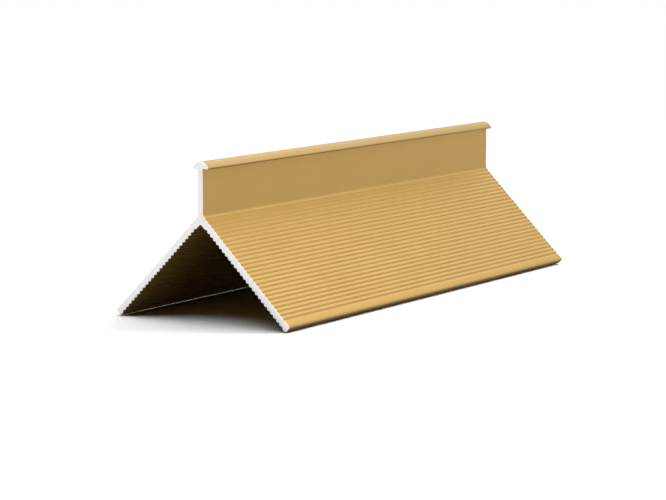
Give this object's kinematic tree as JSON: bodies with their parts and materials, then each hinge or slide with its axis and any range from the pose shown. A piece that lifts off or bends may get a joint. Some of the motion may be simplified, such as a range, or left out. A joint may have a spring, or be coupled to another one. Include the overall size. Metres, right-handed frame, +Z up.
{
  "type": "tile corner trim",
  "caption": "Short length of extruded aluminium outside-corner tile trim: ribbed wings at a right angle, a plain stem and a small rounded cap, satin gold anodised.",
  "frame": {"origin": "middle of the length, on the level surface that the wing tips stand on, under the stem", "axes": "+X along the profile, +Z up along the stem to the cap, -Y the side that the picture shows"},
  "size_m": [0.1, 0.0362, 0.0279],
  "materials": {
    "anodised_aluminium": "satin gold anodised, with raw sawn ends"
  },
  "bodies": {
    "root": {"corner_trim": "anodised_aluminium"}
  },
  "joints": []
}
